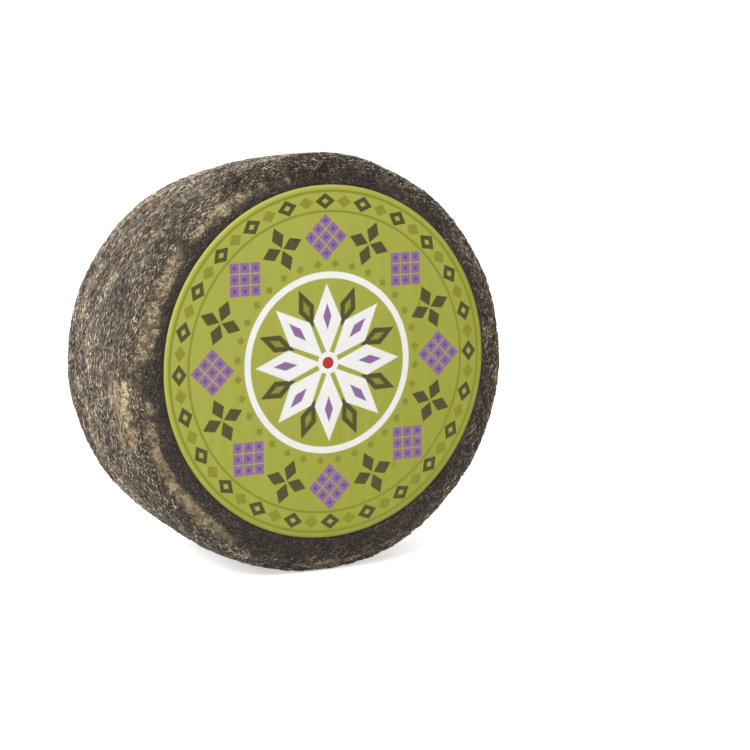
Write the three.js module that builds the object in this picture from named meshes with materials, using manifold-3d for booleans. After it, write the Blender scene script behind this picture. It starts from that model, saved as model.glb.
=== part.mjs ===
import * as THREE from 'three';
import { mergeVertices } from 'three/addons/utils/BufferGeometryUtils.js';
import Module from 'manifold-3d';

const wasm = await Module();
wasm.setup();

// A whole wheel of goat cheese in a crust of dried thyme. It stands on its rim, so its axis runs
// along +Y, from the labelled face in front to the plain face behind.

// Driving dimensions of the wheel, in millimetres.
const FRONT_RADIUS = 120;
const BACK_RADIUS = 113.4;
const THICKNESS = 127;
const BARREL_BULGE = 1.8;
const FRONT_EDGE = { radial: 20, axial: 11.8 };
const BACK_EDGE = { radial: 18.7, axial: 28.6 };
const REST_DEPTH = 1.3;

// The front face is a little out of square: it leans forward at its top, in millimetres a millimetre.
const FACE_SLANT = { across: -0.01, up: 0.049 };

// The round paper label, and how far its middle sits from the wheel's axis.
const LABEL_RADIUS = 100.7;
const LABEL_MIDDLE = { across: 2.3, up: 1.7 };
const LABEL_THICKNESS = 0.4;
const GAP = 0.3;

// Long shallow waves that make the pressed curd uneven, a few of each length.
const WAVES = [
  { length: 180, height: 0.7 },
  { length: 90, height: 0.45 },
  { length: 48, height: 0.35 },
];
const WAVES_OF_A_LENGTH = 4;
const CALM_UNDER_LABEL = 0.4;
const CALM_MARGIN = 12;

// The larger bits of thyme: leaves and pieces of stalk, half sunk in the rind.
const LEAF = { length: 6.6, width: 3, height: 2.4, sides: 6 };
const STALK = { length: 10, thickness: 1.9, sides: 5 };
const BIT_SPACING = 26;
const BIT_STRAY = 0.3;
const STALK_SHARE = 0.3;
const SMALLEST_BIT = 0.75;
const CLEAR_OF_LABEL = 9;
const CLEAR_OF_FLOOR = 4;
const THYME_SEED = 7;

// How finely the surfaces are divided.
const SIDES = 72;
const RINGS = { face: 3, frontEdge: 5, barrel: 9, backEdge: 6, back: 4 };
const LABEL_RINGS = 3;

const RIND = new THREE.MeshStandardMaterial({ color: 0x6b6255, roughness: 0.9, metalness: 0 });
const PAPER = new THREE.MeshStandardMaterial({ color: 0xa9b63d, roughness: 0.5, metalness: 0 });

const flatRadius = FRONT_RADIUS - FRONT_EDGE.radial;
const barrelEnd = THICKNESS - BACK_EDGE.axial;
const lean = Math.atan((FRONT_RADIUS - BACK_RADIUS) / (barrelEnd - FRONT_EDGE.axial));

// Half of the wheel's section, as distance from the axis and depth behind the front face.
function wheelOutline() {
  const middle = (FRONT_EDGE.axial + barrelEnd) / 2;
  const crown = (FRONT_RADIUS + BACK_RADIUS) / 2 + 2 * BARREL_BULGE;
  const backFlat = BACK_RADIUS - BACK_EDGE.radial;
  const outline = new THREE.Path();
  outline.moveTo(0, 0);
  outline.lineTo(flatRadius, 0);
  outline.absellipse(flatRadius, FRONT_EDGE.axial, FRONT_EDGE.radial, FRONT_EDGE.axial, -Math.PI / 2, 0);
  outline.quadraticCurveTo(crown, middle, BACK_RADIUS, barrelEnd);
  outline.absellipse(backFlat, barrelEnd, BACK_EDGE.radial, BACK_EDGE.axial, 0, Math.PI / 2);
  outline.lineTo(0, THICKNESS);
  return outline;
}

function outlinePoints(outline) {
  return outline.curves.flatMap((curve, i) => curve.getPoints(Object.values(RINGS)[i]).slice(i ? 1 : 0));
}

// Depth of the front face and its rounded edge at a distance from the axis.
function frontDepth(radius) {
  const past = THREE.MathUtils.clamp((radius - flatRadius) / FRONT_EDGE.radial, 0, 1);
  return FRONT_EDGE.axial * (1 - Math.sqrt(1 - past * past));
}

// A revolved outline as a closed mesh round the Y axis, with each vertex once.
function revolved(points) {
  const lathe = new THREE.LatheGeometry(points, SIDES);
  return cleaned(lathe);
}

function cleaned(geometry) {
  geometry.deleteAttribute('normal');
  geometry.deleteAttribute('uv');
  const merged = mergeVertices(geometry, 1e-4);
  const corners = [];
  for (let i = 0; i < merged.index.count; i += 3) {
    const [a, b, c] = [0, 1, 2].map((k) => merged.index.getX(i + k));
    if (a !== b && b !== c && a !== c) corners.push(a, b, c);
  }
  merged.setIndex(corners);
  merged.computeVertexNormals();
  return merged;
}

function moveVertices(geometry, move) {
  const { position, normal } = geometry.attributes;
  const point = new THREE.Vector3();
  const away = new THREE.Vector3();
  for (let i = 0; i < position.count; i++) {
    point.fromBufferAttribute(position, i);
    away.fromBufferAttribute(normal, i);
    move(point, away);
    position.setXYZ(i, point.x, point.y, point.z);
  }
  return geometry;
}

// Directions spread evenly over a half sphere, so that the waves cross every way.
function waveDirection(index, count) {
  const up = (index + 0.5) / count;
  const turn = index * Math.PI * (3 - Math.sqrt(5));
  const out = Math.sqrt(1 - up * up);
  return new THREE.Vector3(out * Math.cos(turn), up, out * Math.sin(turn));
}

// How far the surface stands out from its true outline at a point.
function unevenness(point) {
  const count = WAVES.length * WAVES_OF_A_LENGTH;
  let height = 0;
  for (let i = 0; i < count; i++) {
    const wave = WAVES[i % WAVES.length];
    const phase = (2 * Math.PI * point.dot(waveDirection(i, count))) / wave.length;
    height += (wave.height / Math.sqrt(WAVES_OF_A_LENGTH)) * Math.sin(phase + 2.4 * i);
  }
  return height;
}

// The curd was pressed flat where the label is, so the waves are lower there.
function calm(point) {
  const onFront = 1 - THREE.MathUtils.smoothstep(point.y, 0, FRONT_EDGE.axial);
  const inside = 1 - THREE.MathUtils.smoothstep(Math.hypot(point.x, point.z), flatRadius, flatRadius + CALM_MARGIN);
  return 1 - (1 - CALM_UNDER_LABEL) * onFront * inside;
}

// The slant of the front face fades out towards the square back.
function slanted(point) {
  const share = 1 - THREE.MathUtils.clamp(point.y / THICKNESS, 0, 1);
  point.y -= share * (FACE_SLANT.across * point.x + FACE_SLANT.up * point.z);
}

function onRealSurface(point, away) {
  const height = unevenness(point) * calm(point);
  point.addScaledVector(away, height);
  slanted(point);
}

function wheelBody(outline) {
  return moveVertices(revolved(outlinePoints(outline)), onRealSurface);
}

// The label follows the face that it is stuck to, so both its sides take the face's shape.
function labelBody() {
  const rings = Array.from({ length: LABEL_RINGS + 1 }, (_, i) => (LABEL_RADIUS * i) / LABEL_RINGS);
  const front = rings.map((radius) => new THREE.Vector2(radius, -GAP - LABEL_THICKNESS));
  const back = rings.map((radius) => new THREE.Vector2(radius, -GAP));
  const disc = revolved([...front, ...back.reverse()]);
  const forward = new THREE.Vector3(0, -1, 0);
  return moveVertices(disc, (point) => {
    const level = point.y;
    point.set(point.x + LABEL_MIDDLE.across, 0, point.z + LABEL_MIDDLE.up);
    point.y = frontDepth(Math.hypot(point.x, point.z));
    onRealSurface(point, forward);
    point.y += level;
  });
}

// Numbers from 0 to 1 that come out the same each time.
function seededRandom(seed) {
  let state = seed;
  return () => {
    state = (state * 1664525 + 1013904223) % 4294967296;
    return state / 4294967296;
  };
}

function leafShape() {
  const leaf = new THREE.SphereGeometry(0.5, LEAF.sides, 2);
  return cleaned(leaf.scale(LEAF.length, LEAF.height, LEAF.width));
}

function stalkShape() {
  const stalk = new THREE.CylinderGeometry(0.5, 0.4, 1, STALK.sides);
  stalk.rotateZ(Math.PI / 2);
  return cleaned(stalk.scale(STALK.length, STALK.thickness, STALK.thickness));
}

// Places for the bits: rings round the wheel an even step apart, each place strayed a little.
function thymePlaces(outline, random) {
  const whole = outline.getLength();
  const start = LABEL_RADIUS + CLEAR_OF_LABEL;
  const rows = Math.floor((whole - start) / BIT_SPACING);
  const places = [];
  for (let row = 0; row < rows; row++) {
    const along = start + BIT_SPACING * (row + 0.5);
    const around = Math.floor((2 * Math.PI * outline.getPointAt(along / whole).x) / BIT_SPACING);
    for (let i = 0; i < around; i++) {
      const strayed = along + BIT_SPACING * BIT_STRAY * (2 * random() - 1);
      const turn = (2 * Math.PI * (i + BIT_STRAY * (2 * random() - 1))) / around;
      places.push({ share: Math.min(Math.max(strayed, start) / whole, 0.99), turn });
    }
  }
  return places;
}

// Turns a bit so that it lies on the rind, pointing any way, and sinks its middle into it.
function layOnRind(shape, outline, place, random) {
  const at = outline.getPointAt(place.share);
  const heading = outline.getTangentAt(place.share);
  const out = new THREE.Vector3(Math.sin(place.turn), 0, Math.cos(place.turn));
  const point = new THREE.Vector3(out.x * at.x, at.y, out.z * at.x);
  const away = new THREE.Vector3(out.x * heading.y, -heading.x, out.z * heading.y);
  const size = THREE.MathUtils.lerp(SMALLEST_BIT, 1, random());
  const spin = new THREE.Quaternion().setFromAxisAngle(new THREE.Vector3(0, 1, 0), 2 * Math.PI * random());
  const turn = new THREE.Quaternion().setFromUnitVectors(new THREE.Vector3(0, 1, 0), away).multiply(spin);
  onRealSurface(point, away);
  const placed = new THREE.Matrix4().compose(point, turn, new THREE.Vector3(size, size, size));
  return shape.clone().applyMatrix4(placed);
}

function toSolid(geometry) {
  return new wasm.Manifold(
    new wasm.Mesh({
      numProp: 3,
      vertProperties: new Float32Array(geometry.attributes.position.array),
      triVerts: new Uint32Array(geometry.index.array),
    }),
  );
}

function toGeometry(solid) {
  const mesh = solid.getMesh();
  const geometry = new THREE.BufferGeometry();
  geometry.setAttribute('position', new THREE.BufferAttribute(mesh.vertProperties, 3));
  geometry.setIndex(new THREE.BufferAttribute(mesh.triVerts, 1));
  geometry.computeVertexNormals();
  return geometry;
}

// Leans the wheel back until the underside of its tapered barrel lies level, then lowers it by
// the depth that its own weight has pressed flat.
function restingPose(wheel) {
  const leaned = new THREE.Matrix4().makeRotationX(-lean);
  const box = new THREE.Box3().setFromBufferAttribute(wheel.clone().applyMatrix4(leaned).attributes.position);
  return new THREE.Matrix4().makeTranslation(0, 0, -box.min.z - REST_DEPTH).multiply(leaned);
}

function crustedWheel(wheel, outline, pose) {
  const random = seededRandom(THYME_SEED);
  const leaf = leafShape();
  const stalk = stalkShape();
  let solid = toSolid(wheel.clone().applyMatrix4(pose));
  for (const place of thymePlaces(outline, random)) {
    const shape = random() < STALK_SHARE ? stalk : leaf;
    const bit = layOnRind(shape, outline, place, random).applyMatrix4(pose);
    bit.computeBoundingBox();
    if (bit.boundingBox.min.z > CLEAR_OF_FLOOR) solid = solid.add(toSolid(bit));
  }
  const ground = new THREE.BoxGeometry(4 * FRONT_RADIUS, 4 * FRONT_RADIUS, FRONT_RADIUS);
  const below = toSolid(cleaned(ground.translate(0, 0, -FRONT_RADIUS / 2)));
  return toGeometry(solid.subtract(below));
}

const outline = wheelOutline();
const wheel = wheelBody(outline);
const pose = restingPose(wheel);

const wheelMesh = new THREE.Mesh(crustedWheel(wheel, outline, pose), RIND);
wheelMesh.name = 'cheese_wheel';

const labelMesh = new THREE.Mesh(labelBody().applyMatrix4(pose), PAPER);
labelMesh.name = 'label';

// The origin is under the middle of the whole, on the surface that it stands on.
const standing = new THREE.Group();
standing.add(wheelMesh, labelMesh);
const middle = new THREE.Box3().setFromObject(standing).getCenter(new THREE.Vector3());
standing.position.set(-middle.x, -middle.y, 0);

const cheese = new THREE.Group();
cheese.add(standing);

export default cheese;
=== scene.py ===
import math
import bpy
import numpy as np
from mathutils import Matrix, Vector, noise


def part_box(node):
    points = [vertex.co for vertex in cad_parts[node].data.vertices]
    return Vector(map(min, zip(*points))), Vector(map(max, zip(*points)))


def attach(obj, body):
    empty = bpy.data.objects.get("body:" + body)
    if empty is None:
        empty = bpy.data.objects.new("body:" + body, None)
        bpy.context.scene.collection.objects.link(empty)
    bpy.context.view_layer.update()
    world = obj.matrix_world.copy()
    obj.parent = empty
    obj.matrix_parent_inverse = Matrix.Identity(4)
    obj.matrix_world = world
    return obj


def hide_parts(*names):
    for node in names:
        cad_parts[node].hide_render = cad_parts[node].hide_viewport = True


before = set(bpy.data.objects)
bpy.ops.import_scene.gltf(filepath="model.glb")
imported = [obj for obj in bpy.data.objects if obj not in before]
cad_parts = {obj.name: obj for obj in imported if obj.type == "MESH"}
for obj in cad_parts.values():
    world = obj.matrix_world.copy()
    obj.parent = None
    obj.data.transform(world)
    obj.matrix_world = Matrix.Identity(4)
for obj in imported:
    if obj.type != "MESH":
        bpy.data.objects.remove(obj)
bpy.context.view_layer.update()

mm = 0.001

# the cheese as it was moulded, in mm: its axis runs back from the labelled face
cheese = {
    "frontRadius": 120.0,
    "backRadius": 113.4,
    "thickness": 127.0,
    "bulge": 1.8,
    "frontEdge": (20.0, 11.8),  # radial, axial
    "backEdge": (18.7, 28.6),
    "slant": (-0.01, 0.049),  # of the front face, across and up
    "waves": ((180.0, 0.7), (90.0, 0.45), (48.0, 0.35)),  # length, height
    "wavesOfALength": 4,
    "waveShift": 2.4,  # radians from one wave to the next
    "calmUnderLabel": 0.4,
    "calmMargin": 12.0,
}
flatRadius = cheese["frontRadius"] - cheese["frontEdge"][0]
barrelEnd = cheese["thickness"] - cheese["backEdge"][1]
lean = math.atan((cheese["frontRadius"] - cheese["backRadius"]) / (barrelEnd - cheese["frontEdge"][1]))

# the label's paper, in mm; its middle is beside and above the wheel's axis
label = {
    "radius": 100.7,
    "middle": (2.3, 1.7),
    "gap": 0.3,
    "thickness": 0.4,
    "cutSlope": 0.12,  # the printed side is this much smaller
    "innerRing": 1.2,
    "sides": 192,
    "frontRings": 56,
    "backRings": 14,
}


def smooth(value, low, high):
    part = np.clip((value - low) / (high - low), 0, 1)
    return part * part * (3 - 2 * part)


def span(value, limits):
    # rises from 0 to 1 between the first two limits and falls again between the last two
    return smooth(value, *limits[:2]) * (1 - smooth(value, *limits[2:]))


def cloud(points, size, seed, octaves=2):
    # soft noise of about -1 to 1 at points in mm; each seed looks at another part of it
    shift = Vector((seed, 1.7 * seed, 2.3 * seed))
    return np.array([noise.fractal(Vector(p) / size + shift, 1.0, 2.0, octaves) for p in points])


def unevenness(points):
    # the same long waves as in the solid, each with its own heading
    waves = cheese["waves"]
    count = len(waves) * cheese["wavesOfALength"]
    height = np.zeros(len(points))
    for i in range(count):
        length, size = waves[i % len(waves)]
        up = (i + 0.5) / count
        turn = i * math.pi * (3 - math.sqrt(5))  # by the golden angle
        out = math.sqrt(1 - up * up)
        heading = np.array((out * math.cos(turn), up, out * math.sin(turn)))
        phase = points @ heading * 2 * math.pi / length + cheese["waveShift"] * i
        height += size / math.sqrt(cheese["wavesOfALength"]) * np.sin(phase)
    return height


def onRealSurface(points, normals):
    # moves points of the true wheel to where the uneven, slanted wheel has them
    radius = np.hypot(points[:, 0], points[:, 2])
    onFront = 1 - smooth(points[:, 1], 0, cheese["frontEdge"][1])
    inside = 1 - smooth(radius, flatRadius, flatRadius + cheese["calmMargin"])
    height = unevenness(points) * (1 - (1 - cheese["calmUnderLabel"]) * onFront * inside)
    moved = points + normals * height[:, None]
    share = 1 - np.clip(moved[:, 1] / cheese["thickness"], 0, 1)
    moved[:, 1] -= share * (cheese["slant"][0] * moved[:, 0] + cheese["slant"][1] * moved[:, 2])
    return moved


def leaned(points):
    # leans the wheel back until the underside of its barrel lies level
    c, s = math.cos(lean), math.sin(lean)
    x, y, z = points.T
    return np.column_stack((x, y * c + z * s, z * c - y * s))


def readPoints(ob):
    flat = np.empty(len(ob.data.vertices) * 3)
    ob.data.vertices.foreach_get("co", flat)
    return flat.reshape(-1, 3)


def readNormals(ob):
    flat = np.empty(len(ob.data.vertices) * 3)
    ob.data.vertex_normals.foreach_get("vector", flat)
    return flat.reshape(-1, 3)


def writePoints(ob, points):
    ob.data.vertices.foreach_set("co", np.ascontiguousarray(points, dtype=np.float32).ravel())
    ob.data.update()


def keepValues(ob, name, values):
    made = ob.data.attributes.new(name, "FLOAT", "POINT")
    made.data.foreach_set("value", np.ascontiguousarray(values, dtype=np.float32))


def deselectAll():
    for ob in bpy.context.selected_objects:
        ob.select_set(False)


def applyModifiers(ob):
    deselectAll()
    bpy.context.view_layer.objects.active = ob
    ob.select_set(True)
    for modifier in list(ob.modifiers):
        bpy.ops.object.modifier_apply(modifier=modifier.name)


def putInOrder(ob):
    # Makes the mesh anew with its points and faces in order of place. Blender's own order isn't the
    # same each run, and the last digits of all that follows would hang on it.
    points = readPoints(ob)
    onAxis = np.hypot(points[:, 0], points[:, 2]) < 0.001
    points[onAxis] *= (0, 1, 0)  # exactly on it
    order = np.lexsort(points.T)
    number = np.empty(len(order), int)
    number[order] = np.arange(len(order))
    faces = sorted(number[list(face.vertices)].tolist() for face in ob.data.polygons)
    ob.data.clear_geometry()
    ob.data.from_pydata(points[order], [], faces)


def turned(name, outline, sides):
    # a disc is extruded ring by ring along an outline of (radius, depth), and closes at both ends
    deselectAll()
    bpy.ops.mesh.primitive_circle_add(
        vertices=sides, radius=outline[0][0], fill_type="NGON",
        location=(0, outline[0][1], 0), rotation=(math.pi / 2, 0, 0))
    bpy.ops.object.transform_apply(location=True, rotation=True, scale=True)
    ob = bpy.context.object
    ob.name = ob.data.name = name
    bpy.ops.object.mode_set(mode="EDIT")
    bpy.ops.mesh.select_all(action="SELECT")
    for (radius, depth), (nextRadius, nextDepth) in zip(outline, outline[1:]):
        bpy.ops.mesh.extrude_region_move(TRANSFORM_OT_translate={"value": (0, nextDepth - depth, 0)})
        grow = nextRadius / radius
        bpy.ops.transform.resize(value=(grow, 1, grow), center_override=(0, nextDepth, 0))
    bpy.ops.mesh.select_mode(type="FACE")
    bpy.ops.mesh.select_all(action="DESELECT")
    bpy.ops.object.mode_set(mode="OBJECT")
    for face in ob.data.polygons:
        face.select = len(face.vertices) > 4  # the two ends
    bpy.ops.object.mode_set(mode="EDIT")
    bpy.ops.mesh.poke()
    bpy.ops.mesh.select_all(action="SELECT")
    bpy.ops.mesh.normals_make_consistent(inside=False)
    bpy.ops.object.mode_set(mode="OBJECT")
    putInOrder(ob)
    return ob


# The maths of a material: a wire is one socket, and what is done to it adds nodes.
class Wire:
    def __init__(self, tree, socket):
        self.tree = tree
        self.socket = socket

    def node(self, kind, inputs=(), out=0, stops=(), **settings):
        made = self.tree.nodes.new(kind)
        for key, value in settings.items():
            setattr(made, key, value)
        for i, (place, colour) in enumerate(stops):
            element = made.color_ramp.elements[i] if i < 2 else made.color_ramp.elements.new(place)
            element.position = place
            element.color = (*colour, 1)
        for key, value in inputs.items() if isinstance(inputs, dict) else enumerate(inputs):
            if isinstance(value, Wire):
                self.tree.links.new(value.socket, made.inputs[key])
            else:
                made.inputs[key].default_value = value
        return Wire(self.tree, made.outputs[out])

    def maths(self, operation, *others, clamp=False):
        return self.node("ShaderNodeMath", (self, *others), operation=operation, use_clamp=clamp)

    def __add__(self, other):
        return self.maths("ADD", other)

    def __sub__(self, other):
        return self.maths("SUBTRACT", other)

    def __mul__(self, other):
        return self.maths("MULTIPLY", other)

    def __truediv__(self, other):
        return self.maths("DIVIDE", other)

    def __rsub__(self, other):
        return self.node("ShaderNodeMath", (other, self), operation="SUBTRACT")

    __radd__ = __add__
    __rmul__ = __mul__

    def bigger(self, other):
        return self.maths("MAXIMUM", other)

    def smaller(self, other):
        return self.maths("MINIMUM", other)

    def size(self):
        return self.maths("ABSOLUTE")

    def within(self, limit, softness):
        # 1 where the value is under the limit, with a soft edge
        return ((limit - self) / softness).maths("ADD", 0.5, clamp=True)

    def between(self, low, high):
        # 0 up to low, 1 from high on and smooth in between
        limits = {0: self, 1: low, 2: high}
        return self.node("ShaderNodeMapRange", limits, interpolation_type="SMOOTHSTEP")

    def ramp(self, places, colours):
        return self.node("ShaderNodeValToRGB", (self,), stops=tuple(zip(places, colours)))

    def under(self, mask, colour, **settings):
        # the colour laid over this one where the mask is 1
        laid = colour if isinstance(colour, Wire) else (*colour, 1)
        return self.node("ShaderNodeMix", {0: mask, 6: self, 7: laid}, out=2, data_type="RGBA", **settings)


def rgb(*values):
    # a colour of 0 to 255 as the linear one that shaders use
    return tuple(((v / 255 + 0.055) / 1.055) ** 2.4 for v in values)


def newMaterial(name, specular, roughness=1.0):
    material = bpy.data.materials.new(name)
    material.use_nodes = True
    tree = material.node_tree
    shader = tree.nodes["Principled BSDF"]
    shader.inputs["Roughness"].default_value = roughness
    shader.inputs["Specular IOR Level"].default_value = specular
    place = Wire(tree, tree.nodes.new("ShaderNodeTexCoord").outputs["Object"])
    return material, shader, place


def plug(wire, shader, socket):
    wire.tree.links.new(wire.socket, shader.inputs[socket])


def noiseAt(place, size, detail):
    # size is in mm
    return place.node("ShaderNodeTexNoise", {"Vector": place, "Scale": 1000 / size, "Detail": detail})


def valueOf(place, name):
    return place.node("ShaderNodeAttribute", out=2, attribute_name=name)


def bumped(height, strength, distance):
    settings = {"Height": height, "Strength": strength, "Distance": distance * mm}
    return height.node("ShaderNodeBump", settings)


def finishPiece(ob, material):
    ob.data.materials.clear()
    ob.data.materials.append(material)
    ob.data.polygons.foreach_set("use_smooth", np.ones(len(ob.data.polygons), bool))
    ob.data.update()
    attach(ob, "root")
    print(ob.name, len(ob.data.polygons), "faces")


def frontDepth(radius):
    # how far behind the face's plane the front edge has curved at a radius
    radial, axial = cheese["frontEdge"]
    past = np.clip((radius - flatRadius) / radial, 0, 1)
    return axial * (1 - np.sqrt(1 - past * past))


def makeLabelMesh():
    inner, outer = label["innerRing"], label["radius"]
    near = -label["gap"] - label["thickness"]
    front = [(r, near) for r in np.linspace(inner, outer - label["cutSlope"], label["frontRings"])]
    back = [(r, -label["gap"]) for r in np.linspace(outer, inner, label["backRings"])]
    ob = turned("paperLabel", front + back, label["sides"])
    points = readPoints(ob)
    level = points[:, 1].copy()
    points += (label["middle"][0], 0, label["middle"][1])
    points[:, 1] = frontDepth(np.hypot(points[:, 0], points[:, 2]))
    forward = np.tile((0.0, -1.0, 0.0), (len(points), 1))
    points = onRealSurface(points, forward)
    points[:, 1] += level
    writePoints(ob, leaned(points) * mm)
    return ob


# The label's print: a medallion of plain shapes in rings, in mm. A reach is how far out from the
# middle a shape lies. A lozenge is given as half its width across and half its height outwards.
design = {
    "green": rgb(171, 174, 74),
    "yellowGreen": rgb(162, 165, 56),
    "paleOlive": rgb(143, 142, 46),
    "darkOlive": rgb(78, 76, 36),
    "violet": rgb(146, 108, 160),
    "deepViolet": rgb(112, 78, 130),
    "red": rgb(186, 54, 50),
    "white": rgb(246, 246, 242),
    # painted shade: the paper's cut edge is coloured dark, as if in shade
    "cutEdgeShade": rgb(128, 132, 78),
    "cutWidth": 0.1,
    "softness": 0.35,
    "rimLines": ((97.3, 0.8), (85.9, 0.7)),  # reach, half width
    "rimReach": 91.6,
    "rimLozenge": (6.2, 4.6),
    "rimHollow": (2.2, 1.6),
    "rimBetween": (4.6, 3.6),
    "checks": 8,  # checked lozenges round the white ring
    "checkReach": 71.4,
    "checkStep": 9.2,
    "checkHalf": 4.05,
    "checkCore": 0.36,  # of a check
    "crossArm": 6.9,
    "crossOutward": (4.0, 6.2),
    "crossSideways": (6.2, 4.0),
    "beadReach": 56.2,
    "bead": (2.5, 2.5),
    "ringReach": 50.0,
    "ringHalf": 1.9,
    "rays": 8,
    "rayReach": 24.5,
    "ray": (8.8, 20.5),
    "rayCoreReach": 26.5,
    "rayCore": (2.6, 7.5),
    "darkRayReach": 34.0,
    "darkRay": (5.2, 11.8),
    "darkRayCore": (2.0, 5.0),
    "hub": 6.4,
    "hubCore": 3.4,
}


def together(u, v):
    return u.node("ShaderNodeCombineXYZ", (u, v, 0.0))


def reachOf(p):
    return p.node("ShaderNodeVectorMath", (p,), out=1, operation="LENGTH")


def lozenge(x, y, reach, half):
    # 1 inside a lozenge that is half[0] wide to each side and half[1] high
    away = x.size() / half[0] + (y - reach).size() / half[1]
    return away.within(1.0, 1.5 * design["softness"] / min(half))


def roundRepeat(u, v, count, start):
    # the place inside the nearest of count repeats round the middle: across it, and outwards
    step = 2 * math.pi / count
    turn = u.maths("ARCTAN2", v) - start * step
    turn = turn - (turn / step).maths("ROUND") * step
    reach = reachOf(together(u, v))
    return reach * turn.maths("SINE"), reach * turn.maths("COSINE")


def nearestOfThree(value, step):
    # how far the value is from the nearest of three rows, a step apart
    return value - (value / step).maths("ROUND").bigger(-1.0).smaller(1.0) * step


def outerRings(paper, u, v):
    # lozenges side by side near the rim, with a line on each side of them
    reach = reachOf(together(u, v))
    for line, half in design["rimLines"]:
        paper = paper.under((reach - line).size().within(half, design["softness"]), design["paleOlive"])
    count = design["checks"] * 3
    x, y = roundRepeat(u, v, count, 0)
    paper = paper.under(lozenge(x, y, design["rimReach"], design["rimLozenge"]), design["darkOlive"])
    paper = paper.under(lozenge(x, y, design["rimReach"], design["rimHollow"]), design["green"])
    x, y = roundRepeat(u, v, count, 0.5)
    return paper.under(lozenge(x, y, design["rimReach"], design["rimBetween"]), design["paleOlive"])


def checkedLozenges(paper, u, v):
    # violet lozenges, three by three, and between them a cross of dark ones
    soft, diagonal = design["softness"], math.sqrt(0.5)
    x, y = roundRepeat(u, v, design["checks"] * 4, 0.5)
    paper = paper.under(lozenge(x, y, design["beadReach"], design["bead"]), design["paleOlive"])
    x, y = roundRepeat(u, v, design["checks"], 0)
    y = y - design["checkReach"]
    step, half = design["checkStep"] * diagonal, design["checkHalf"] * diagonal
    across = nearestOfThree((x + y) * diagonal, step)
    along = nearestOfThree((x - y) * diagonal, step)
    away = across.size().bigger(along.size())
    paper = paper.under(away.within(half, soft), design["violet"])
    paper = paper.under(away.within(half * design["checkCore"], soft), design["deepViolet"])
    x, y = roundRepeat(u, v, design["checks"], 0.5)
    reach, arm = design["checkReach"], design["crossArm"]
    cross = lozenge(x, y, reach + arm, design["crossOutward"])
    cross = cross.bigger(lozenge(x, y, reach - arm, design["crossOutward"]))
    cross = cross.bigger(lozenge(x.size() - arm, y, reach, design["crossSideways"]))
    return paper.under(cross, design["darkOlive"])


def star(paper, u, v):
    # white rays inside a white ring, with darker ones between them
    soft = design["softness"]
    x, y = roundRepeat(u, v, design["rays"], 0.5)
    paper = paper.under(lozenge(x, y, design["darkRayReach"], design["darkRay"]), design["darkOlive"])
    paper = paper.under(lozenge(x, y, design["darkRayReach"], design["darkRayCore"]), design["paleOlive"])
    x, y = roundRepeat(u, v, design["rays"], 0)
    white = lozenge(x, y, design["rayReach"], design["ray"])
    reach = reachOf(together(u, v))
    white = white.bigger((reach - design["ringReach"]).size().within(design["ringHalf"], soft))
    paper = paper.under(white, design["white"])
    paper = paper.under(lozenge(x, y, design["rayCoreReach"], design["rayCore"]), design["violet"])
    paper = paper.under(reach.within(design["hub"], soft), design["white"])
    return paper.under(reach.within(design["hubCore"], soft), design["red"])


# the look of the label's paper, in mm
paperLook = {
    "specular": 0.22,
    "roughness": (0.3, 0.16),  # least, and how much the grain adds
    "grain": 1.3,
    "waves": 8.0,
    "streakWidth": 5.0,
    "streakShrink": 0.03,  # the streaks run up and down
    "streakContrast": 1.2,
    "fade": 420.0,  # from one green to the other, corner to corner
    "tone": 0.42,
    "blisters": (  # from the label's middle, and their radius
        (-54.0, -50.0, 3.4), (-9.0, -31.0, 2.6), (58.0, 30.0, 2.8),
        (-20.0, 70.0, 2.4), (40.0, -62.0, 3.0)),
    "blisterSquash": 0.7,
    "blisterHeight": 2.0,
    "bump": (0.6, 0.6),
}


def makePaperMaterial(middle):
    look = paperLook
    material, shader, place = newMaterial("printedPaper", look["specular"])
    x, z = (place.node("ShaderNodeSeparateXYZ", (place,), out=i) for i in (0, 2))
    u = (x - middle.x) / mm
    v = (z - middle.z) / mm
    streaks = place.node("ShaderNodeTexNoise", {
        "Vector": together(u, v * look["streakShrink"]), "Scale": 1 / look["streakWidth"],
        "Detail": 4.0, "Roughness": 0.65})
    shade = (streaks - 0.5) * look["streakContrast"] + (u - v) / look["fade"] + look["tone"]
    paper = shade.ramp((0.2, 0.8), (design["green"], design["yellowGreen"]))
    paper = outerRings(paper, u, v)
    paper = checkedLozenges(paper, u, v)
    paper = star(paper, u, v)
    # painted shade on the paper's cut edge
    cut = 1 - reachOf(together(u, v)).within(label["radius"] - design["cutWidth"], design["softness"])
    paper = paper.under(cut, design["cutEdgeShade"])
    plug(paper, shader, "Base Color")
    grain = noiseAt(place, look["grain"], 3.0)
    least, more = look["roughness"]
    plug(grain * more + least, shader, "Roughness")
    height = noiseAt(place, look["waves"], 1.0) * 0.8 + grain * 0.05
    for blisterU, blisterV, radius in look["blisters"]:
        away = reachOf(together(u - blisterU, (v - blisterV) * look["blisterSquash"])) / radius
        height = height + (1 - away.between(0.0, 1.0)) * look["blisterHeight"]
    plug(bumped(height, *look["bump"]), shader, "Normal")
    return material


# the rind that carries the thyme, in mm
rind = {
    "sides": 96,
    "rings": {"face": 4, "frontEdge": 7, "barrel": 22, "backEdge": 9, "back": 13},
    "capRadius": 3.0,
    "lumpSize": 5.0,
    "lump": 0.45,
    "grainSize": 1.8,
    "grain": 0.225,
    "calmWhereBare": 0.6,
    "sunkWhereBare": 0.35,
    "sunkUnderLabel": 0.1,
    "underLabelEdge": (-3.0, 1.5),  # from the label's rim
}

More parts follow.
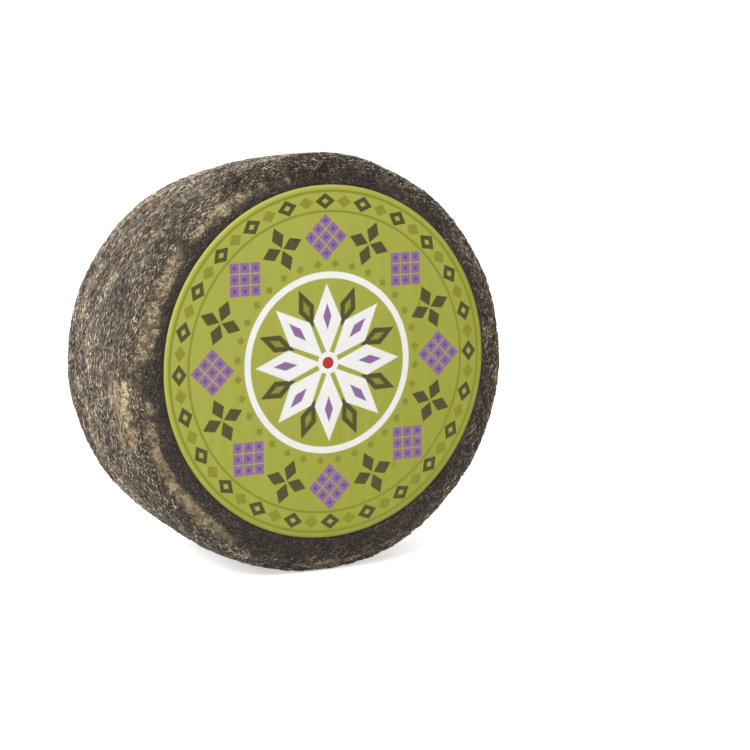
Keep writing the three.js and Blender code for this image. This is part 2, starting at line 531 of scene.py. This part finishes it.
# Where the thyme is rubbed off. Limits on the face are degrees round it, 0 right, 90 top and 180
# left. Depths are mm behind it.
rubbed = {
    "crest": 29.0,  # degrees round the front edge, from the face
    "crestWander": 6.0,
    "width": 21.0,
    "strength": 0.2,
    "left": {"face": (90, 114, 228, 245), "stronger": 0.46},
    "low": {"face": (190, 205, 228, 242), "stronger": 0.75, "narrower": 0.52, "further": 4.0},
    "bottom": {"face": (232, 248, 285, 305), "stronger": 0.4, "narrower": 0.55, "further": 24.0},
    "gap": (180.0, 11.0, 0.6),  # on the left: its middle, its half width and how much less
    "beside": {"face": (173, 182, 195, 210), "depth": (3, 8, 22, 42), "strength": 0.72},
    "behind": {"depth": (10, 24), "clouds": (0.05, 0.55), "size": 22.0, "strength": 0.54},
    "broadSize": 24.0,
    "mottleSize": 4.5,
    "mottle": 0.5,
    "wear": (0.25, 0.9),  # where the thyme begins to go and where it is gone
}

# Where the crust is darker: on the front band, in degrees round the front edge, and in painted shade
# beside it, underneath and on top, in mm behind the face and above the axis.
darker = {
    "band": (18, 58),
    "bandWander": 6.0,
    "bandCloud": 7.0,
    "lessAtRight": 0.9,
    "strip": (5, 14, 24, 52),
    "stripStrength": 0.55,
    "stripWander": 6.0,
    "stripCloud": 12.0,
    "underside": (-119, -106),
    "top": (84, 114),
    "topDepth": (40, 90),
}


def rindOutline():
    rings, cap = rind["rings"], rind["capRadius"]
    radial, axial = cheese["frontEdge"]
    backRadial, backAxial = cheese["backEdge"]
    backFlat = cheese["backRadius"] - backRadial
    outline = [(r, 0.0) for r in np.linspace(cap, flatRadius, rings["face"], endpoint=False)]
    for turn in np.linspace(0, math.pi / 2, rings["frontEdge"], endpoint=False):
        outline.append((flatRadius + radial * math.sin(turn), axial * (1 - math.cos(turn))))
    for t in np.linspace(0, 1, rings["barrel"], endpoint=False):
        radius = cheese["frontRadius"] + (cheese["backRadius"] - cheese["frontRadius"]) * t
        outline.append((radius + cheese["bulge"] * 4 * t * (1 - t), axial + (barrelEnd - axial) * t))
    for turn in np.linspace(0, math.pi / 2, rings["backEdge"], endpoint=False):
        outline.append((backFlat + backRadial * math.cos(turn), barrelEnd + backAxial * math.sin(turn)))
    return outline + [(r, cheese["thickness"]) for r in np.linspace(backFlat, cap, rings["back"])]


def roundTheEdge(points):
    # degrees round the front edge: 0 where it leaves the face and 90 where the barrel begins
    radial, axial = cheese["frontEdge"]
    radius = np.hypot(points[:, 0], points[:, 2])
    ahead = np.maximum(1 - points[:, 1] / axial, 0)
    return np.where(ahead > 0, np.degrees(np.arctan2((radius - flatRadius) / radial, ahead)), 90)


def bareness(points):
    # 1 where the thyme is rubbed off: along the front edge, in patches beside it and behind them
    leftSide, lowSide, bottomSide = rubbed["left"], rubbed["low"], rubbed["bottom"]
    face = np.degrees(np.arctan2(points[:, 2], points[:, 0])) % 360
    gapMiddle, gapHalf, gapDepth = rubbed["gap"]
    left = span(face, leftSide["face"]) * (1 - gapDepth * np.exp(-(((face - gapMiddle) / gapHalf) ** 2)))
    low = span(face, lowSide["face"])
    bottom = span(face, bottomSide["face"])
    strength = rubbed["strength"] + leftSide["stronger"] * left
    strength += lowSide["stronger"] * low + bottomSide["stronger"] * bottom
    broad = cloud(points, rubbed["broadSize"], seed=5.0)
    mottle = cloud(points, rubbed["mottleSize"], seed=9.0, octaves=3)
    width = rubbed["width"] * (1 + 0.5 * broad)
    width *= 1 - bottomSide["narrower"] * bottom - lowSide["narrower"] * low
    middle = rubbed["crest"] + lowSide["further"] * low + bottomSide["further"] * bottom
    middle += rubbed["crestWander"] * mottle
    crest = np.exp(-(((roundTheEdge(points) - middle) / width) ** 2))
    depth = points[:, 1]
    beside, behind = rubbed["beside"], rubbed["behind"]
    spots = span(depth, beside["depth"]) * span(face, beside["face"])
    clouds = smooth(cloud(points, behind["size"], seed=2.0), *behind["clouds"])
    worn = crest * strength * (1 + 0.35 * broad) + beside["strength"] * spots
    worn += behind["strength"] * smooth(depth, *behind["depth"]) * clouds
    worn += rubbed["mottle"] * mottle * (1 - 0.5 * np.maximum(low, left * crest))
    return smooth(worn, *rubbed["wear"])


def keepTones(ob, true):
    # how dark the front band is, and the painted shade beside, under and on top, for the materials
    turn = roundTheEdge(true) + darker["bandWander"] * cloud(true, darker["bandCloud"], seed=6.0)
    toTheRight = np.clip(true[:, 0] / cheese["frontRadius"], 0, 1) ** 2
    front = (1 - smooth(turn, *darker["band"])) * (1 - darker["lessAtRight"] * toTheRight)
    depth = true[:, 1] + darker["stripWander"] * cloud(true, darker["stripCloud"], seed=7.0)
    strip = darker["stripStrength"] * span(depth, darker["strip"])
    underside = 1 - smooth(true[:, 2], *darker["underside"])
    top = smooth(true[:, 2], *darker["top"]) * (1 - smooth(depth, *darker["topDepth"]))
    keepValues(ob, "front", front)
    # painted shade: darker in a strip beside the front edge, underneath and on top
    keepValues(ob, "shade", np.maximum(np.maximum(strip, underside), top))


def makeRindMesh():
    ob = turned("thymeRind", rindOutline(), rind["sides"])
    rounding = ob.modifiers.new("rounding", "SUBSURF")
    rounding.levels = rounding.render_levels = 2
    applyModifiers(ob)
    true = readPoints(ob)
    pastRim = np.hypot(true[:, 0] - label["middle"][0], true[:, 2] - label["middle"][1]) - label["radius"]
    underLabel = (true[:, 1] < cheese["frontEdge"][1]) * (1 - smooth(pastRim, *rind["underLabelEdge"]))
    writePoints(ob, onRealSurface(true, readNormals(ob)))
    lumps = cloud(true, rind["lumpSize"], seed=1.0, octaves=3) * rind["lump"]
    lumps += cloud(true, rind["grainSize"], seed=4.0) * rind["grain"]
    bare = bareness(true)
    height = lumps * (1 - rind["calmWhereBare"] * bare) * (1 - underLabel)
    height -= rind["sunkWhereBare"] * bare + rind["sunkUnderLabel"] * underLabel
    writePoints(ob, leaned(readPoints(ob) + readNormals(ob) * height[:, None]) * mm)
    keepValues(ob, "bare", bare)
    keepTones(ob, true)
    keepValues(ob, "underLabel", underLabel)
    return ob


# the look of the rind's skin and of the dust of thyme on it, in mm
rindLook = {
    "specular": 0.25,
    "rollRadius": 117.0,
    "fibres": (  # turn, length, width, seed
        (22, 4.5, 0.8, 3.0), (-24, 4.0, 0.75, 8.0), (75, 3.0, 0.7, 15.0)),
    "broad": 13.0,
    "fine": 1.5,
    "skin": (rgb(116, 97, 70), rgb(172, 153, 117), rgb(208, 191, 154)),
    "blotSize": 4.2,
    "blot": rgb(92, 76, 57),
    "speckSize": 1.9,
    "speck": rgb(78, 65, 50),
    "poreSize": 0.9,
    "pore": rgb(56, 47, 40),
    "dust": (rgb(38, 33, 30), rgb(74, 64, 54), rgb(126, 111, 92)),
    "dark": (rgb(38, 33, 31), rgb(64, 57, 51), rgb(96, 84, 74)),
    "mottling": 0.3,
    "bump": (0.7, 0.5),
}

# the patches that rind and thyme share, in mm, and how much darker the painted shade makes them
patches = {
    "large": 15.0,
    "small": 4.6,
    "shade": 0.3,
}


def roundPlace(place):
    # the place rolled flat: along the rim, through the wheel and out from its axis, in mm
    x, y, z = (place.node("ShaderNodeSeparateXYZ", (place,), out=i) / mm for i in range(3))
    z = z - cheese["frontRadius"]
    along = x.maths("ARCTAN2", z) * rindLook["rollRadius"]
    return place.node("ShaderNodeCombineXYZ", (along, y, reachOf(together(x, z))))


def fibreNoise(place, turn, length, width, seed):
    # noise drawn out into fibres that lie turned from the rim's run
    drawn = place.node("ShaderNodeMapping", {
        "Vector": place, "Location": (seed, seed, 0), "Rotation": (0, 0, math.radians(turn)),
        "Scale": (length, width, width)}, vector_type="TEXTURE")
    return drawn.node("ShaderNodeTexNoise", {"Vector": drawn, "Scale": 1.0, "Detail": 1.5})


def mottled(colour, place, strength):
    # light and dark patches of two sizes, darker where shade is painted
    large = noiseAt(place, patches["large"], 3.0).between(0.36, 0.64)
    small = noiseAt(place, patches["small"], 2.0).between(0.37, 0.63)
    both = large * 0.55 + small * 0.45
    # brightness of the patches, times the painted shade
    light = ((both - 0.5) * (2 * strength) + 1) * (1 - valueOf(place, "shade") * patches["shade"])
    return colour.node("ShaderNodeVectorMath", {0: colour, "Scale": light}, operation="SCALE")


def makeRindMaterial():
    look = rindLook
    material, shader, place = newMaterial("rubbedRind", look["specular"])
    rolled = roundPlace(place)
    first, second, third = (fibreNoise(rolled, *fibres) for fibres in look["fibres"])
    fibres = first.bigger(second).bigger(third)
    broad = noiseAt(place, look["broad"], 3.0)
    fine = noiseAt(place, look["fine"], 4.0)
    skin = (broad * 0.9 + fine * 0.5 - 0.2).ramp((0.2, 0.5, 0.8), look["skin"])
    blots = noiseAt(place, look["blotSize"], 2.0).between(0.42, 0.66)
    specks = noiseAt(place, look["speckSize"], 3.0).between(0.52, 0.68)
    pores = noiseAt(place, look["poreSize"], 1.0).between(0.57, 0.66)
    skin = skin.under(blots * 0.66, look["blot"])
    skin = skin.under(specks * 0.8, look["speck"])
    skin = skin.under(pores * 0.85, look["pore"])
    dust = (fibres * 1.5 + (broad - 0.5) * 0.9 - 0.45).ramp((0.15, 0.5, 0.85), look["dust"])
    dark = (fibres * 1.2 + (broad - 0.5) * 0.6 - 0.25).ramp((0.2, 0.6, 0.95), look["dark"])
    dust = mottled(dust.under(valueOf(place, "front"), dark), place, look["mottling"])
    worn = valueOf(place, "bare") + (fine - 0.5) * 0.7 + (fibres - 0.6) * -0.6
    plug(dust.under(worn.between(0.1, 0.75), skin), shader, "Base Color")
    plug(0.65 + fine * 0.25, shader, "Roughness")
    plug(bumped(fibres * 1.4 + fine * 0.5, *look["bump"]), shader, "Normal")
    return material


# The thyme itself, each kind a piece of its own. Sizes are in mm, each from and to. front and bare
# say how much of it lies on the front band and on rubbed spots, against 1 for the rest. dim says
# how far its colour turns to the dark one of the front band.
thyme = {
    "thymeLeaves": {
        "count": 11800, "sides": 4, "slim": False, "seed": 11,
        "length": (2.2, 4.2), "width": (0.8, 1.3), "height": (0.4, 0.65), "lift": (-0.05, 0.4),
        "front": 0.7, "bare": 0.02, "dim": 0.84, "roughness": 0.45,
        "colours": (rgb(44, 39, 35), rgb(92, 82, 71), rgb(154, 141, 121))},
    "thymeShreds": {
        "count": 11800, "sides": 4, "slim": False, "seed": 12,
        "length": (1.3, 2.6), "width": (0.6, 1.0), "height": (0.3, 0.55), "lift": (0.0, 0.45),
        "front": 1.0, "bare": 0.12, "dim": 0.84, "roughness": 0.5,
        "colours": (rgb(40, 34, 32), rgb(80, 68, 58), rgb(144, 122, 97))},
    "thymeFibres": {
        "count": 31500, "sides": 3, "slim": True, "seed": 13,
        "length": (2.3, 6.6), "width": (0.4, 0.74), "height": (0.34, 0.5), "lift": (0.1, 0.6),
        "front": 0.8, "bare": 0.16, "dim": 0.84, "roughness": 0.45,
        "colours": (rgb(50, 44, 40), rgb(114, 102, 88), rgb(188, 174, 150))},
    "strawBits": {
        "count": 19000, "sides": 3, "slim": True, "seed": 14,
        "length": (1.7, 5.2), "width": (0.42, 0.78), "height": (0.34, 0.55), "lift": (0.3, 0.7),
        "front": 0.08, "bare": 0.1, "dim": 0.84, "roughness": 0.32,
        "colours": (rgb(124, 110, 91), rgb(184, 168, 143), rgb(232, 224, 208))},
    "thymeStalks": {
        "count": 1500, "sides": 4, "slim": False, "seed": 15,
        "length": (4.5, 8.5), "width": (0.5, 0.9), "height": (0.4, 0.7), "lift": (0.1, 0.5),
        "front": 0.6, "bare": 0.12, "dim": 0.84, "roughness": 0.5,
        "colours": (rgb(58, 48, 41), rgb(108, 91, 72), rgb(172, 154, 124))},
    "fineHairs": {
        "count": 4000, "sides": 3, "slim": False, "seed": 16,
        "length": (3.5, 8.0), "width": (0.2, 0.32), "height": (0.2, 0.3), "lift": (0.3, 0.6),
        "front": 7.0, "bare": 0.1, "dim": 0.5, "roughness": 0.5,
        "colours": (rgb(72, 62, 52), rgb(112, 98, 78), rgb(156, 140, 112))},
}

# how the bits are laid, in mm and radians
laying = {
    "spare": 1.06,  # picked at first, as those over the label are left out
    "free": (0.08, 0.64),  # share that lies any way round: everywhere, and more on the front band
    "spread": 0.34,
    "tilt": 0.07,
    "curl": (0.04, 0.22),  # least, and how much more at most
    "tips": 1.4,  # above 1 draws the tips out
    "clearOfLabel": 0.4,
    "labelDepth": 12.0,  # bits further behind the label than this aren't over it
    "lowest": 0.05,
}


def oneBit(sides, slim):
    # a dry bit, 1 long, 1 wide and 1 high, as corner points and triangles
    deselectAll()
    lying = (0, math.pi / 2, 0)
    if slim:
        bpy.ops.mesh.primitive_cone_add(
            vertices=sides, radius1=0.5, depth=0.5, location=(0.25, 0, 0), rotation=lying)
    else:
        bpy.ops.mesh.primitive_uv_sphere_add(segments=sides, ring_count=3, radius=0.5, rotation=lying)
    bpy.ops.object.transform_apply(location=True, rotation=True, scale=True)
    ob = bpy.context.object
    bpy.ops.object.mode_set(mode="EDIT")
    bpy.ops.mesh.select_mode(type="FACE")
    bpy.ops.mesh.select_all(action="DESELECT")
    bpy.ops.object.mode_set(mode="OBJECT")
    for face in ob.data.polygons:
        face.select = slim and abs(face.center.x) < 0.01
    bpy.ops.object.mode_set(mode="EDIT")
    if slim:
        bpy.ops.mesh.poke(offset=0.5)  # the cone's base is drawn out to a second tip
    bpy.ops.mesh.select_all(action="SELECT")
    bpy.ops.mesh.quads_convert_to_tris(quad_method="FIXED", ngon_method="BEAUTY")
    bpy.ops.mesh.normals_make_consistent(inside=False)
    bpy.ops.object.mode_set(mode="OBJECT")
    points = readPoints(ob)
    points[:, 0] = np.sign(points[:, 0]) * np.abs(points[:, 0] * 2) ** laying["tips"] / 2
    triangles = np.array([face.vertices[:] for face in ob.data.polygons])
    bpy.data.objects.remove(ob)
    return points, triangles


def readGround(ob):
    # the rind's triangles and values, its points numbered from left to right
    ob.data.calc_loop_triangles()
    corners = np.empty(len(ob.data.loop_triangles) * 3, np.int32)
    area = np.empty(len(ob.data.loop_triangles))
    ob.data.loop_triangles.foreach_get("vertices", corners)
    ob.data.loop_triangles.foreach_get("area", area)
    points = readPoints(ob)
    order = np.argsort(points[:, 0])
    number = np.empty(len(order), int)
    number[order] = np.arange(len(order))
    corners = np.sort(number[corners.reshape(-1, 3)], axis=1)
    rows = np.lexsort(corners.T[::-1])
    values = {}
    for name in ("bare", "front", "shade", "underLabel"):
        values[name] = np.empty(len(order))
        ob.data.attributes[name].data.foreach_get("value", values[name])
        values[name] = values[name][order]
    return points[order], readNormals(ob)[order], corners[rows], area[rows], values


def unit(vectors):
    return vectors / np.maximum(np.linalg.norm(vectors, axis=1), 1e-6)[:, None]


def pickSpots(rng, kind, ground):
    # random spots of the rind with their normals and values, more where the thyme lies thick
    points, normals, corners, area, values = ground
    weight = (1 - (1 - kind["bare"]) * values["bare"]) * (1 - (1 - kind["front"]) * values["front"])
    weight *= 1 - values["underLabel"]
    chance = area * weight[corners].mean(axis=1)
    picked = rng.choice(len(corners), int(kind["count"] * laying["spare"]), p=chance / chance.sum())
    share = rng.dirichlet((1, 1, 1), len(picked))[:, :, None]
    at = (points[corners[picked]] * share).sum(axis=1)
    up = unit((normals[corners[picked]] * share).sum(axis=1))
    tones = {name: values[name][corners[picked, 0]] for name in ("front", "bare", "shade")}
    return at, up, tones


def headings(rng, up, front):
    # most bits lie along the rim's run, the others any way round
    count = len(up)
    anywhere, onBand = laying["free"]
    free = rng.random(count) < anywhere + onBand * front
    turn = np.where(free, rng.uniform(-math.pi, math.pi, count), rng.normal(0, laying["spread"], count))
    run = unit(np.cross((0.0, 1.0, 0.0), up))
    return run * np.cos(turn)[:, None] + np.cross(up, run) * np.sin(turn)[:, None]


def overLabel(at, length, along, labelBox):
    # whether either end of a bit comes over the label
    middle = (labelBox[0] + labelBox[1]) / 2
    over = np.zeros(len(at), bool)
    for sign in (-0.5, 0.5):
        end = at + sign * length * mm * along
        reach = np.hypot(end[:, 0] - middle.x, end[:, 2] - middle.z)
        near = end[:, 1] < labelBox[1].y + laying["labelDepth"] * mm
        over |= (reach < (label["radius"] + laying["clearOfLabel"]) * mm) & near
    return over


def scatter(name, kind, ground, labelBox):
    # lays the bits of one kind on the rind as one mesh
    rng = np.random.default_rng(kind["seed"])
    at, up, tones = pickSpots(rng, kind, ground)
    side = headings(rng, up, tones["front"])
    low, high = np.array([kind[key] for key in ("length", "width", "height", "lift")]).T
    size = low + (high - low) * rng.random((len(at), 4))
    along = side + up * rng.normal(0, laying["tilt"], len(at))[:, None]
    across = np.cross(up, along)
    kept = np.flatnonzero(~overLabel(at, size[:, :1], along, labelBox))[:kind["count"]]
    points, triangles = oneBit(kind["sides"], kind["slim"])
    leastCurl, moreCurl = laying["curl"]
    curl = (moreCurl * rng.random(len(kept)) + leastCurl)[:, None]
    shape = points[None] * size[kept, None, :3]
    shape[:, :, 2] += size[kept, 3, None] - curl * size[kept, 0, None] * points[None, :, 0] ** 2
    axes = np.stack((along[kept], across[kept], up[kept]), axis=1)
    placed = at[kept, None] + np.einsum("nvk,nkc->nvc", shape, axes) * mm
    placed[:, :, 2] = np.maximum(placed[:, :, 2], laying["lowest"] * mm)
    faces = (triangles[None] + np.arange(len(kept))[:, None, None] * len(points)).reshape(-1, 3)
    mesh = bpy.data.meshes.new(name)
    mesh.from_pydata(placed.reshape(-1, 3), [], faces)
    ob = bpy.data.objects.new(name, mesh)
    bpy.context.scene.collection.objects.link(ob)
    keepValues(ob, "tone", np.repeat(rng.random(len(kept)), len(points)))
    for tone, values in tones.items():
        keepValues(ob, tone, np.repeat(values[kept], len(points)))
    return ob


# the look that all the thyme shares; sizes in mm
thymeLook = {
    "specular": 0.5,
    "broad": 18.0,
    "fine": 0.7,
    "warmSize": 31.0,
    "warm": (0.95, 0.68, 0.45),
    "mottling": 0.52,
    "band": rgb(62, 55, 50),
    "bare": rgb(112, 96, 74),
    "bump": (0.5, 0.2),
}


def makeThymeMaterial(name, kind):
    look = thymeLook
    material, shader, place = newMaterial(name, look["specular"])
    broad = noiseAt(place, look["broad"], 3.0)
    fine = noiseAt(place, look["fine"], 2.0)
    tone = valueOf(place, "tone") * 0.85 + (broad - 0.5) * 1.2 + (fine - 0.5) * 0.4 + 0.07
    colour = tone.ramp((0.1, 0.5, 0.9), kind["colours"])
    warm = noiseAt(place, look["warmSize"], 2.0).between(0.45, 0.65)
    colour = colour.under(warm * 0.3, look["warm"], blend_type="MULTIPLY")
    colour = mottled(colour, place, look["mottling"])
    colour = colour.under(valueOf(place, "front") * kind["dim"], look["band"])
    colour = colour.under(valueOf(place, "bare") * 0.3, look["bare"])
    plug(colour, shader, "Base Color")
    plug(kind["roughness"] + (fine - 0.5) * 0.3, shader, "Roughness")
    plug(bumped(fine, *look["bump"]), shader, "Normal")
    return material


# the camera looks at a point beside and just below the middle of the labelled face
camera = {
    "azimuth": -27.3,
    "elevation": 10.0,
    "distance": 1.44,
    "aside": 0.0290,
    "below": 0.0052,
    "lens": 122.05,
    "sensor": 36.0,
    "clip": (0.05, 60.0),
}


def viewAxes(azimuth, elevation):
    a, e = math.radians(azimuth), math.radians(elevation)
    right = Vector((math.cos(a), math.sin(a), 0))
    back = Vector((math.sin(a) * math.cos(e), -math.cos(a) * math.cos(e), math.sin(e)))
    return right, back.cross(right), back


def makeCamera(face):
    right, up, back = viewAxes(camera["azimuth"], camera["elevation"])
    data = bpy.data.cameras.new("camera")
    data.lens = camera["lens"]
    data.sensor_width = camera["sensor"]
    data.clip_start, data.clip_end = camera["clip"]
    ob = bpy.data.objects.new("camera", data)
    bpy.context.scene.collection.objects.link(ob)
    spot = face + back * camera["distance"] + right * camera["aside"] - up * camera["below"]
    turn = Matrix((right, up, back)).transposed().to_4x4()
    ob.matrix_world = Matrix.Translation(spot) @ turn
    bpy.context.scene.camera = ob


# soft studio light: a white room, a broad light on the left, one in front on the left and one
# behind on the right
studio = {
    "middle": Vector((0, 0, 0.1)),
    "room": 0.5,
    "floorTone": 0.9,
    "floorToneSpread": 0.01,
    "floorPatch": 900.0,  # mm
    "floorRoughness": 0.9,
    "floorGlow": 0.56,
    "floorSize": 32.0,
    "backdropRadius": 15.0,
    "backdropGlow": 1.1,
    "lights": {
        "broadLight": {"azimuth": -86, "elevation": 36, "distance": 1.5, "size": 0.8, "power": 20},
        "frontLight": {"azimuth": -36, "elevation": 40, "distance": 1.8, "size": 1.2, "power": 20},
        "backLight": {"azimuth": 140, "elevation": 34, "distance": 1.8, "size": 1.2, "power": 13},
    },
}


def glow(shader, strength):
    shader.inputs["Emission Color"].default_value = (1, 1, 1, 1)
    shader.inputs["Emission Strength"].default_value = strength


def makeRoom():
    world = bpy.data.worlds.new("room")
    world.use_nodes = True
    shade = world.node_tree.nodes["Background"]
    shade.inputs["Color"].default_value = (1, 1, 1, 1)
    shade.inputs["Strength"].default_value = studio["room"]
    bpy.context.scene.world = world


def makeFloor():
    deselectAll()
    bpy.ops.mesh.primitive_plane_add(size=studio["floorSize"])
    floor = bpy.context.object
    floor.name = "floor"
    floor.visible_diffuse = False  # the room lights the part from below too
    material, shader, place = newMaterial("paleFloor", 0.0, studio["floorRoughness"])
    tones = [(studio["floorTone"] + more,) * 3 for more in (0, studio["floorToneSpread"])]
    plug(noiseAt(place, studio["floorPatch"], 2.0).ramp((0.0, 1.0), tones), shader, "Base Color")
    glow(shader, studio["floorGlow"])
    floor.data.materials.append(material)


def makeBackdrop():
    deselectAll()
    bpy.ops.mesh.primitive_uv_sphere_add(segments=48, ring_count=24, radius=studio["backdropRadius"])
    backdrop = bpy.context.object
    backdrop.name = "backdrop"
    backdrop.visible_diffuse = backdrop.visible_glossy = backdrop.visible_shadow = False
    material, shader = newMaterial("whiteBackdrop", 0.0)[:2]
    shader.inputs["Base Color"].default_value = (0, 0, 0, 1)
    glow(shader, studio["backdropGlow"])
    backdrop.data.materials.append(material)


def makeLights():
    for name, light in studio["lights"].items():
        back = viewAxes(light["azimuth"], light["elevation"])[2]
        data = bpy.data.lights.new(name, "AREA")
        data.shape = "DISK"
        data.size = light["size"]
        data.energy = light["power"]
        ob = bpy.data.objects.new(name, data)
        bpy.context.scene.collection.objects.link(ob)
        ob.location = studio["middle"] + back * light["distance"]
        ob.rotation_euler = back.to_track_quat("Z", "Y").to_euler()


# the label is made first: its place in the frame says where the whole wheel stands
paper = makeLabelMesh()
points = readPoints(paper)
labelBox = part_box("label")
labelMiddle = (labelBox[0] + labelBox[1]) / 2
shift = np.mean(labelBox, axis=0) - (points.min(axis=0) + points.max(axis=0)) / 2
writePoints(paper, points + shift)
finishPiece(paper, makePaperMaterial(labelMiddle))
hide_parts("label")
print("label done")

crust = makeRindMesh()
points = readPoints(crust) + shift
points[:, 2] = np.maximum(points[:, 2], 0)  # pressed flat where it rests
writePoints(crust, points)
finishPiece(crust, makeRindMaterial())
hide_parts("cheese_wheel")
print("rind done")

ground = readGround(crust)
for name, kind in thyme.items():
    bits = scatter(name, kind, ground, labelBox)
    finishPiece(bits, makeThymeMaterial(name + "Skin", kind))
    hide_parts("cheese_wheel")
print("thyme done")

makeCamera(labelMiddle - Vector((label["middle"][0], 0, label["middle"][1])) * mm)
makeRoom()
makeFloor()
makeBackdrop()
makeLights()
bpy.context.scene.view_settings.view_transform = "Standard"
print("studio done")
